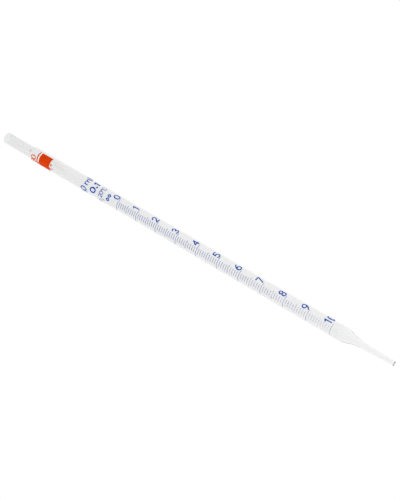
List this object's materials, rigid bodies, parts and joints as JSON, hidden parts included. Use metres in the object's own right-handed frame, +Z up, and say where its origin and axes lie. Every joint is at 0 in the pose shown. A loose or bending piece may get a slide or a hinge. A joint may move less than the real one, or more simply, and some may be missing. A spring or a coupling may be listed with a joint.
{
  "type": "graduated pipette",
  "caption": "Straight glass measuring pipette with a narrow mouthpiece, a blue volume scale, an orange colour band and a drawn delivery tip.",
  "frame": {"origin": "on the surface that the barrel lies on, under the middle of the pipette's length", "axes": "+X along the pipette towards the delivery tip, +Z up, numerals facing up and the scale's lines running over to the -Y side"},
  "size_m": [0.36, 0.0104, 0.0104],
  "materials": {
    "glass": "clear, fire-polished rim and ground tip",
    "blue_enamel": "fired enamel print, satin",
    "orange_enamel": "fired enamel print, satin"
  },
  "bodies": {
    "root": {"mouthpiece_tube": "glass", "barrel_tube": "glass", "delivery_jet": "glass", "volume_label": "blue_enamel", "division_label": "blue_enamel", "temperature_label": "blue_enamel", "tolerance_label": "blue_enamel", "class_mark": "blue_enamel", "long_marks": "blue_enamel", "half_marks": "blue_enamel", "tenth_marks": "blue_enamel", "numeral_0": "blue_enamel", "numeral_1": "blue_enamel", "numeral_2": "blue_enamel", "numeral_3": "blue_enamel", "numeral_4": "blue_enamel", "numeral_5": "blue_enamel", "numeral_6": "blue_enamel", "numeral_7": "blue_enamel", "numeral_8": "blue_enamel", "numeral_9": "blue_enamel", "numeral_10": "blue_enamel", "colour_band": "orange_enamel", "colour_ring": "orange_enamel", "dot_mark": "orange_enamel", "batch_code": "orange_enamel"}
  },
  "joints": []
}
